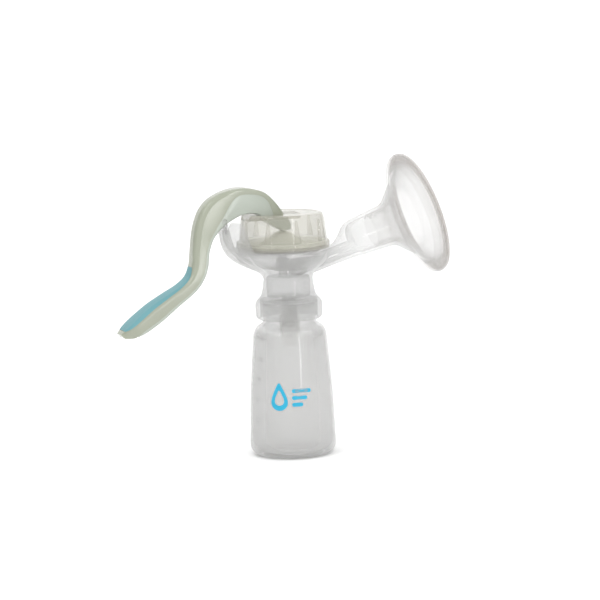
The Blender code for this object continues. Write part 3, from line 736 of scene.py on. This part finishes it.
def throat():
    """Web from the tunnel's closed end down into the channel."""
    stations = [(-31.0, 4.9, 6.35, 9.45), (-28.6, 4.85, 6.5, 9.5), (-25.4, 4.4, 7.0, 9.8),
                (-21.8, 2.95, 8.55, 10.3), (-18.3, 1.25, 10.45, 11.0), (-15.6, 0.35, 11.5, 11.6),
                (-13.0, 0.05, 11.95, 11.95)]
    return oval_tube(smooth_path(stations, 5))


def upright(radius, low, high, axis_x=0.0):
    """Solid upright rod between two heights."""
    profile = [(0.0, low), (radius, low), (radius, high), (0.0, high)]
    return turned(profile, steps=TUBE_STEPS, axis_x=axis_x)


def pivot_lug():
    """Lug inside the handle that carries the pin."""
    x, z, half = PIVOT.x, PIVOT.z, 2.4
    outline = [(x - 1.9, 146.6), (x + 2.9, 146.6)] + arc((x, z), 2.6, 0, 180, 20)
    return skin([[(px, y, pz) for px, pz in outline] for y in (-half, half)])


def make_pump_body(finish):
    """The clear body: one moulding."""
    skirt = [(0.0, SKIRT_BOTTOM_Z - 2), (SKIRT_BORE, SKIRT_BOTTOM_Z - 2), (SKIRT_BORE, DECK_Z),
             (0.0, DECK_Z)]
    low, top = DECK_Z + DECK_WALL, CHAMBER_TOP_Z
    chamber = fillet([(0.0, low), (14.2, low, 1.5), (14.2, top, 2.0), (0.0, top)], closed=False)
    steps = [('UNION', turned(cup_profile(), axis_x=HEAD_X)),
             ('UNION', on_shield_axis(turned(shield_outside()))),
             ('UNION', throat()),
             ('UNION', channel_tube(0.0, -66.0, -11.0)),
             ('UNION', upright(AIR_RADIUS, 115, 132.6, AIR_X)),
             ('UNION', pivot_lug()),
             ('DIFFERENCE', turned(skirt)),
             ('DIFFERENCE', turned(chamber)),
             ('UNION', upright(5.2, SEAT_BOTTOM_Z, DECK_Z + 0.8)),  # the valve's seat
             ('DIFFERENCE', upright(AIR_BORE, 112, 135.5, AIR_X)),
             ('DIFFERENCE', upright(4.0, 81, DECK_Z + 4)),  # its opening
             ('DIFFERENCE', rod(PIN_BORE, 3.4, PIVOT.x, PIVOT.z)),
             ('DIFFERENCE', channel_tube(1.8, -60.0, -8.7)),
             ('DIFFERENCE', on_shield_axis(turned(shield_hollow())))]
    bm = combine("pump_body_shell", neck_and_bowl(), steps)
    return add_piece("pump_body_shell", bm, finish, "head", "pump_body")


# ---- soft pieces ----

def thick_path(path, thickness):
    """Closed profile that follows a path with an even wall and round ends."""
    left, right = [], []
    for i, point in enumerate(path):
        before = path[max(i - 1, 0)]
        after = path[min(i + 1, len(path) - 1)]
        run = Vector((after[0] - before[0], after[1] - before[1])).normalized()
        near_end = min(i, len(path) - 1 - i)
        half = thickness / 2 * (0.55, 0.85)[near_end] if near_end < 2 else thickness / 2
        side = Vector((-run.y, run.x)) * half
        left.append((point[0] + side.x, point[1] + side.y))
        right.append((point[0] - side.x, point[1] - side.y))
    return left + right[::-1]


def make_massage_cushion(finish):
    """Silicone liner with a ridge and a lip folded back over the shield's rim."""
    path = [(10.35, 0.0), (10.6, 6.0), (11.0, 11.5), (12.4, 15.6), (14.6, 17.9), (17.0, 20.6),
            (19.4, 23.8), (20.6, 25.8), (21.4, 26.9), (22.8, 27.4), (27.0, 29.6), (33.0, 33.6),
            (36.6, 35.6), (38.5, 36.3), (39.6, 36.2), (40.2, 35.2), (40.45, 34.0),
            (40.2, 32.8), (39.2, 31.8), (36.6, 30.5), (33.4, 28.9)]
    profile = thick_path(smooth_path(path, 5), 1.3)
    bm = on_shield_axis(turned(profile, steps=176, closed=True))
    return add_piece("cushion_skin", bm, finish, "head", "massage_cushion",
                     sharp=60.0)


def make_duckbill_valve(finish):
    """Valve that flattens from a round collar to a slit."""
    outside = [(4.6, 0.8, 69.7), (4.9, 1.3, 71.4), (5.4, 2.4, 74.0), (6.2, 4.4, 77.2),
               (6.6, 5.9, 79.6), (6.6, 6.6, 82.0), (6.6, 6.6, 90.6), (6.3, 6.3, 91.0)]
    inside = [(5.8, 5.8, 91.0), (5.6, 5.6, 90.6), (5.6, 5.6, 82.2), (5.4, 4.6, 79.4),
              (4.8, 2.6, 76.6), (4.4, 1.4, 74.4), (3.8, 0.35, 71.2)]
    rings = []
    for rows in (outside, inside):
        for width, depth, z in smooth_path(rows, 3):
            rings.append([(width * math.cos(a), depth * math.sin(a), z)
                          for a in full_turn(TUBE_STEPS)])
    return add_piece("valve_lips", skin(rings), finish, "head", "duckbill_valve")


def between(first, last, count):
    """Points that split the straight line from first to last, without its ends."""
    run = Vector(last) - Vector(first)
    return [tuple(Vector(first) + run * i / count) for i in range(1, count)]


def make_diaphragm(finish):
    """Diaphragm: rim bead, roll, steep cone and boss."""
    bead = [(25.2, 137.3, 0.5), (27.7, 137.3, 0.5), (27.7, 139.6, 0.5), (25.2, 139.6, 0.5)]
    over_foot, over_top = (17.6, 136.5), (8.4, 142.4)
    under_foot, under_top = (16.9, 135.4), (7.6, 141.6)
    over = [(22.0, 137.2, 1.5), (19.8, 135.8, 1.5), (*over_foot, 1.5),
            *between(over_foot, over_top, 8), (*over_top, 1.0), (5.0, 145.4, 1.0),
            (2.4, 145.9, 0.2)]
    under = [(2.4, 144.9, 0.2), (4.2, 144.6, 0.5), (*under_top, 1.0),
             *between(under_top, under_foot, 8), (*under_foot, 1.5), (19.8, 134.7, 1.5),
             (22.6, 136.3, 1.5)]
    bm = turned(fillet(bead + over + under), axis_x=HEAD_X, closed=True)
    piece = add_piece("diaphragm_skin", bm, finish, None, "diaphragm",
                      sharp=60.0)
    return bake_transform(piece)


# ---- cap and stem ----

CAP_WALL_LOW, CAP_WALL_HIGH = (27.9, 140.8), (26.5, 155.2)  # outer wall as (radius, z)
CAP_WALL_ROWS = 6
CAP_RIBS = 9
CAP_RIB_PHASE = math.radians(-88.5)
RIB_ROWS_Z = (140.5, 141.0, 143.0, 146.0, 149.0, 151.5, 153.2, 154.2, 154.9)
RIB_HALF_WIDTH, RIB_TAPER = 2.7, 2.1  # at the foot, and how much is lost up to the top
RIB_RISE, RIB_SINK, RIB_ROOT = 1.0, 0.3, 0.6  # its crest, sides and back from the wall
RIB_FADE = 0.12  # share of the wall over which the crest runs out


def rib_ring(height):
    """Section of a grip rib, wide at its foot and narrow at its top, as (outward, across)."""
    share = (height - CAP_WALL_LOW[1]) / (CAP_WALL_HIGH[1] - CAP_WALL_LOW[1])
    wall = CAP_WALL_LOW[0] + (CAP_WALL_HIGH[0] - CAP_WALL_LOW[0]) * share
    half = RIB_HALF_WIDTH - RIB_TAPER * share
    rise = RIB_RISE * ease((1.0 - share) / RIB_FADE)
    crest = [(wall - RIB_SINK + (RIB_SINK + rise) * (1 - abs(k / 4) ** 1.5), half * k / 4)
             for k in range(-4, 5)]
    return crest + [(wall - RIB_ROOT, half * 0.8), (wall - RIB_ROOT, -half * 0.8)]


def make_cap_ribs(finish):
    """Nine tapered grip ribs standing on the cap's flange."""
    whole = bmesh.new()
    for angle in full_turn(CAP_RIBS):
        turn = CAP_RIB_PHASE + angle
        c, s = math.cos(turn), math.sin(turn)
        absorb(whole, skin([[(HEAD_X + r * c - w * s, r * s + w * c, z)
                             for r, w in rib_ring(z)] for z in RIB_ROWS_Z]))
    return add_piece("cap_ribs", whole, finish, "head", "cap")


def cap_profile():
    """Half section of the cap, from its foot up and back down its inside."""
    wall = [tuple(Vector(CAP_WALL_LOW).lerp(Vector(CAP_WALL_HIGH), i / CAP_WALL_ROWS))
            for i in range(CAP_WALL_ROWS + 1)]
    foot = fillet([(28.4, 135.4, 0.3), (30.0, 135.4, 0.4), (30.2, 136.0, 0.3),
                   (30.2, 139.6, 0.6), (29.2, 140.3, 0.6), (28.0, 140.4)], closed=False)
    dish_z = CAP_TOP_Z - 0.35
    top = fillet([(26.45, 155.8), (25.9, 157.5, 1.2), (24.2, CAP_TOP_Z, 1.2),
                  (22.6, CAP_TOP_Z, 0.3), (22.3, dish_z, 0.3), (0.0, dish_z)], closed=False)
    inside = fillet([(0.0, 156.1), (23.6, 156.1, 0.8), (24.8, 155.0, 0.8), (26.1, 141.0, 0.3),
                     (26.3, 139.9, 0.2), (28.4, 139.9, 0.2), (28.4, 135.4)], closed=False)
    return foot + wall + top + inside[:-1]


def make_cap(finish):
    """Clear cap with the slot for the handle's nose.

    The ends of its profile aren't joined, and the cut keeps the outer surface only, so the cap
    comes out filled; closed=True would make it hollow, and milkier at the same haze.
    """
    shell = turned(cap_profile(), axis_x=HEAD_X)
    slot = block((-36.0, -8.3, 154.2), (7.5, 8.3, 163.0), corner=1.2)
    bm = combine("cap_shell", shell, [('DIFFERENCE', slot)])
    return add_piece("cap_shell", bm, finish, "head", "cap")


def make_stem(finish):
    """Stem between diaphragm and handle."""
    ball_z, ball_r, neck_r = 151.6, 3.9, 1.9
    start = -math.degrees(math.acos(neck_r / ball_r))
    low = fillet([(0.0, 139.4), (7.0, 139.4, 0.4), (7.6, 140.2, 0.5), (7.35, 141.3, 0.5),
                  (3.95, 144.3, 0.5), (neck_r, 144.6, 0.2), (neck_r, 147.6)], closed=False)
    ball = arc((0.0, ball_z), ball_r, start, 90, 16)
    bm = turned(low + ball, steps=96, axis_x=HEAD_X)
    return add_piece("stem_rod", bm, finish, "stem", "diaphragm_stem")


# ---- handle ----
# Stations of (outer edge, dividing line, inner edge) in the side view, as x and z.
ARCH = [((-1.9, 156.4), (-10.6, 156.3), (-18.5, 156.5)),
        ((-3.4, 158.7), (-11.5, 160.1), (-20.5, 158.0)),
        ((-8.6, 165.5), (-14.2, 166.6), (-23.0, 158.9)),
        ((-15.6, 172.0), (-19.0, 170.3), (-26.5, 159.2)),
        ((-23.5, 174.8), (-25.0, 171.6), (-29.5, 158.8)),
        ((-32.2, 175.8), (-31.5, 171.6), (-33.3, 158.0)),
        ((-42.5, 174.0), (-36.5, 169.4), (-37.6, 156.0)),
        ((-52.0, 169.6), (-40.6, 164.4), (-41.3, 153.9)),
        ((-58.4, 162.7), (-44.4, 158.0), (-44.7, 151.3)),
        ((-62.2, 153.5), (-49.6, 150.4), (-48.0, 148.2))]
ARM = [((-63.9, 145.0), (-51.6, 143.6)), ((-64.9, 136.0), (-54.3, 136.0)),
       ((-65.8, 127.8), (-55.6, 126.8)), ((-68.6, 120.6), (-58.8, 118.8)),
       ((-74.6, 115.4), (-65.0, 111.4)), ((-84.0, 110.2), (-77.0, 102.6)),
       ((-94.0, 104.4), (-87.6, 94.6)), ((-103.6, 97.2), (-98.0, 88.2)),
       ((-110.4, 91.4), (-106.0, 85.2)), ((-114.6, 87.0), (-112.2, 84.6))]
LINER_BAND = 1.8
LINER_LAST = 7  # the last row of ARM with a band of liner
PAD_FIRST, PAD_LAST = 1.9, 8.5
PAD_DEPTH, PAD_LEAST = 2.3, 0.12
PAD_PEAK = 0.62  # highest value of u * (1 - u ** 6)
SEAM = -0.05  # the shell's edge covers the joint to the liner
SHELL_WALL, SHELL_CORNER = 2.0, 4.2
CORNER_SHARE = 0.45  # most of a section's height that a corner takes
HANDLE_HALF_WIDTH, GRIP_HALF_WIDTH = 7.0, 10.6
TAIL_START, TAIL_LENGTH, TAIL_NARROWING = 7.0, 2.2, 0.45
SAMPLES = 8


def handle_stations():
    """Smooth list of (outer, dividing line, inner, half width, place along the arm)."""
    rows = [(*outer, *split, *inner, HANDLE_HALF_WIDTH, number - len(ARCH))
            for number, (outer, split, inner) in enumerate(ARCH)]
    for number, (outer, inner) in enumerate(ARM):
        band = LINER_BAND if number <= LINER_LAST else 0.0
        split = Vector(inner) + (Vector(outer) - Vector(inner)).normalized() * band
        wide = ease(number / (len(ARM) - 1))
        width = HANDLE_HALF_WIDTH + (GRIP_HALF_WIDTH - HANDLE_HALF_WIDTH) * wide
        rows.append((*outer, *split, *inner, width, number))
    return [(Vector(r[0:2]), Vector(r[2:4]), Vector(r[4:6]), r[6], r[7])
            for r in smooth_path(rows, SAMPLES)]


def section(base, top, outline):
    """Place a section outline of (across, up) between two points of the side view."""
    up = (top - base).normalized()
    return [(base.x + up.x * v, u, base.y + up.y * v) for u, v in outline]


def pad_depth(place):
    """Depth of the grip pad at a place along the arm; 0 beyond its ends."""
    u = (place - PAD_FIRST) / (PAD_LAST - PAD_FIRST)
    if not 0.0 < u < 1.0:
        return 0.0
    return PAD_DEPTH * u * (1.0 - u ** 6) / PAD_PEAK


def grip_half(place, half):
    """Half width of the handle, drawn in towards the end of its tail."""
    return half * (1.0 - TAIL_NARROWING * ease((place - TAIL_START) / TAIL_LENGTH) ** 2)


def corner_radius(height, most=SHELL_CORNER):
    """Corner radius that fits a section of this height."""
    return min(most, height * CORNER_SHARE)


def corner_points(half, height, radius, start, end, steps=8):
    """Points on the right top corner of a section, between two angles."""
    return arc((half - radius, height - radius), radius, math.degrees(start),
               math.degrees(end), steps)


def cut_angle(depth, radius):
    """Angle on a corner at which the pad of this depth begins."""
    return math.asin(min(max((radius - depth) / radius, 0.0), 1.0))


def mirrored(points):
    """Right half of a section followed by its left half."""
    return points + [(-x, y) for x, y in reversed(points)]


def shell_outline(height, half, depth):
    """Channel section of the shell, cut off flat where the pad lies on it."""
    radius = corner_radius(height)
    level = height - depth
    roof = max(level - SHELL_WALL, height * 0.25)
    edge = corner_points(half, height, radius, 0.0, cut_angle(depth, radius))
    edge = [(x, min(y, level)) for x, y in edge]
    inner = fillet([(0.0, roof), (half - SHELL_WALL, roof, 1.2), (half - SHELL_WALL, 0.0, 0.1),
                    (half, 0.0)], closed=False)
    return mirrored(inner + edge + [(edge[-1][0] * 0.5, level), (0.0, level)])


def pad_outline(height, half, depth):
    """Section of the pad: the handle's rounded top above the shell's flat."""
    radius = corner_radius(height)
    level = height - depth + 0.04
    crown = 0.35 * min(depth / 2.0, 1.0)
    edge = corner_points(half, height, radius, cut_angle(depth, radius), math.pi / 2, 12)
    edge = [(x, max(y, level)) for x, y in edge]
    top = [(edge[-1][0] * share, height + crown * (1 - share ** 2)) for share in (0.7, 0.4, 0.0)]
    return mirrored([(0.0, level), (edge[0][0] - 0.15, level)] + edge + top)


def make_handle_shell(stations, finish):
    """Outer shell of the swan-neck handle, a channel open towards the liner."""
    rings = []
    for outer, split, _, half, place in stations:
        base = split + (outer - split).normalized() * SEAM
        outline = shell_outline((outer - base).length, grip_half(place, half), pad_depth(place))
        rings.append(section(base, outer, outline))
    return add_piece("handle_outer", skin(rings), finish, "handle", "handle_shell",
                     sharp=50.0)


def strip_outline(height, half, corner):
    """Solid section with rounded corners."""
    corner = corner_radius(height, corner)
    return fillet([(-half, 0.0, corner), (half, 0.0, corner), (half, height, corner * 0.15),
                   (-half, height, corner * 0.15)])


def liner_nose():
    """Side sections of the liner's nose, down to the stem's ball."""
    rows = [(0.8, 147.3, -5.6, 147.1, 6.4), (0.9, 151.2, -12.5, 151.2, 6.6),
            (-1.2, 155.4, -17.4, 155.2, 6.6), (-1.4, 155.8, -18.1, 155.9, 6.6),
            (-10.4, 156.0, -18.3, 156.2, 6.6)]
    return [(Vector(r[0:2]), Vector(r[2:4]), r[4]) for r in rows]


def make_handle_liner(stations, finish):
    """Inner lever: forked nose, hollow arch and a thin band down the arm."""
    rings = [section(low, top, strip_outline((top - low).length, half, 1.2))
             for top, low, half in liner_nose()]
    hollow = []
    last = (len(ARCH) + LINER_LAST) * SAMPLES + 6
    arch_end = (len(ARCH) - 2) * SAMPLES
    for number in range(3, last + 1):
        _, split, inner, half, _ = stations[number]
        height = max((split - inner).length, 0.3)
        rings.append(section(inner, split, strip_outline(height, half - 0.12, 1.3)))
        if SAMPLES + 4 <= number <= arch_end:
            up = (split - inner).normalized()
            outline = strip_outline(height - 1.0, half - 2.4, 0.4)
            hollow.append(section(inner + up * 2.0, split, outline))
    x, z = PIVOT.x, PIVOT.z
    tools = [rod(PIN_BORE, 9.0, x, z),
             block((x - 6.0, -3.1, 140.0), (x + 6.5, 3.1, z + 4.0)),  # room for the lug
             block((-7.6, -4.6, 148.3), (6.0, 4.6, 160.0), 0.4),  # pocket of the ball
             block((-5.6, -2.5, 144.0), (6.0, 2.5, 148.8)),  # slot of the stem
             skin(hollow)]
    bm = combine("handle_inner", skin(rings), [('DIFFERENCE', tool) for tool in tools])
    return add_piece("handle_inner", bm, finish, "handle", "handle_liner",
                     sharp=40.0)


def make_grip_pad(stations, finish):
    """Soft pad that caps the outer side of the arm, thickest near the finger end."""
    rings = []
    for outer, split, _, half, place in stations:
        depth = pad_depth(place)
        if depth < PAD_LEAST:
            continue
        base = split + (outer - split).normalized() * SEAM
        outline = pad_outline((outer - base).length, grip_half(place, half) + 0.05, depth)
        rings.append(section(base, outer, outline))
    return add_piece("grip_cushion", skin(rings), finish, "handle", "grip_pad",
                     sharp=60.0)


def make_pivot_pin(finish):
    """Pin of the handle."""
    return add_piece("hinge_pin", rod(PIN_RADIUS, 6.2, PIVOT.x, PIVOT.z), finish, "handle",
                     "pivot_pin")


# ---- studio ----

VIEW_AZIMUTH = math.radians(-18.5)
VIEW_ELEVATION = math.radians(7.7)
VIEW_ROLL = math.radians(1.8)
VIEW_DISTANCE = 1.8
VIEW_CENTRE = Vector((0.0077146, 0.0, 0.1001243))
LENS = 166.15
HORIZON_LIGHT, TOP_LIGHT, TOP_START = 1.05, 1.5, 0.7
PANEL_START, PANEL_FULL, PANEL_LIGHT = 0.62, 0.92, 0.3  # darker panels left and right
LIGHT_TARGET = (0, 0, 0.1)


def make_camera():
    """Long-lens camera at a low side angle."""
    a, e, t = VIEW_AZIMUTH, VIEW_ELEVATION, VIEW_ROLL
    back = Vector((math.sin(a) * math.cos(e), -math.cos(a) * math.cos(e), math.sin(e)))
    right = (-back).cross(Vector((0, 0, 1))).normalized()
    up = right.cross(-back)
    tilted_up = up * math.cos(t) + right * math.sin(t)
    tilted_right = right * math.cos(t) - up * math.sin(t)
    data = bpy.data.cameras.new("camera")
    data.lens = LENS
    data.sensor_width = 36.0
    data.clip_end = 100.0
    camera = add_object("camera", data)
    place = Matrix((tilted_right, tilted_up, back)).transposed().to_4x4()
    place.translation = VIEW_CENTRE + back * VIEW_DISTANCE
    camera.matrix_world = place
    bpy.context.scene.camera = camera


def make_floor():
    """Plain white floor."""
    mesh = bpy.data.meshes.new("floor")
    half = 30.0
    mesh.from_pydata([(-half, -half, 0), (half, -half, 0), (half, half, 0), (-half, half, 0)],
                     [], [(0, 1, 2, 3)])
    floor = add_object("floor", mesh)
    material, _, _, shader = principled("floor_paint")
    shader.inputs["Base Color"].default_value = (0.92, 0.92, 0.92, 1.0)
    shader.inputs["Roughness"].default_value = 0.9
    shader.inputs["Specular IOR Level"].default_value = 0.1
    mesh.materials.append(material)


def make_world():
    """Studio surroundings: bright overhead, dimmer at the sides, with a white backdrop."""
    world = bpy.data.worlds.new("studio")
    bpy.context.scene.world = world
    world.use_nodes = True
    nodes, links = world.node_tree.nodes, world.node_tree.links
    background = nodes["Background"]
    place = nodes.new("ShaderNodeTexCoord")
    split = nodes.new("ShaderNodeSeparateXYZ")
    ramp = add_ramp(nodes, 0.0, (HORIZON_LIGHT,) * 3, TOP_START, (TOP_LIGHT,) * 3)
    side = add_dot(nodes, (math.cos(VIEW_AZIMUTH), math.sin(VIEW_AZIMUTH), 0.0))
    away = nodes.new("ShaderNodeMath")
    away.operation = 'ABSOLUTE'
    panels = add_range(nodes, 1.0, PANEL_LIGHT, PANEL_START, PANEL_FULL)
    shade = nodes.new("ShaderNodeVectorMath")
    shade.operation = 'SCALE'
    seen = nodes.new("ShaderNodeLightPath")
    mix = nodes.new("ShaderNodeMix")
    mix.data_type = 'RGBA'
    mix.inputs["B"].default_value = (1.0, 1.0, 1.0, 1.0)
    links.new(place.outputs["Generated"], split.inputs["Vector"])
    links.new(split.outputs["Z"], ramp.inputs["Fac"])
    links.new(place.outputs["Generated"], side.inputs[0])
    links.new(side.outputs["Value"], away.inputs[0])
    links.new(away.outputs["Value"], panels.inputs["Value"])
    links.new(ramp.outputs["Color"], shade.inputs[0])
    links.new(panels.outputs["Result"], shade.inputs["Scale"])
    links.new(seen.outputs["Is Camera Ray"], mix.inputs["Factor"])
    links.new(shade.outputs["Vector"], mix.inputs["A"])
    links.new(mix.outputs["Result"], background.inputs["Color"])
    background.inputs["Strength"].default_value = 1.0


def make_light(name, place, size, power):
    """Soft rectangular area light aimed at the pump; size is its width and height."""
    data = bpy.data.lights.new(name, 'AREA')
    data.shape = 'RECTANGLE'
    data.size, data.size_y = size
    data.energy = power
    light = add_object(name, data)
    light.location = place
    aim = Vector(LIGHT_TARGET) - Vector(place)
    light.rotation_euler = aim.to_track_quat('-Z', 'Y').to_euler()


def make_studio():
    """Camera, floor, surroundings and lights."""
    make_camera()
    make_floor()
    make_world()
    make_light("key", (-1.1, -0.7, 1.3), size=(0.35, 0.8), power=4.0)
    make_light("strip", (0.25, -1.3, 0.45), size=(0.14, 0.9), power=3.0)
    scene = bpy.context.scene
    scene.view_settings.view_transform = 'Standard'
    scene.cycles.max_bounces = 16
    scene.cycles.transmission_bounces = 16
    scene.cycles.transparent_max_bounces = 48


def make_pump():
    """Every piece of the pump."""
    finish = make_materials()
    make_bottle(finish["bottle"])
    make_print(finish["ink"])
    make_scale(finish["bottle"])
    make_seal_ring(finish["seal"])
    make_pump_body(finish["body"])
    make_massage_cushion(finish["cushion"])
    make_duckbill_valve(finish["valve"])
    make_diaphragm(finish["diaphragm"])
    make_cap(finish["cap"])
    make_cap_ribs(finish["rib"])
    make_stem(finish["stem"])
    stations = handle_stations()
    make_handle_shell(stations, finish["shell"])
    make_handle_liner(stations, finish["liner"])
    make_grip_pad(stations, finish["pad"])
    make_pivot_pin(finish["pin"])


make_studio()
make_pump()
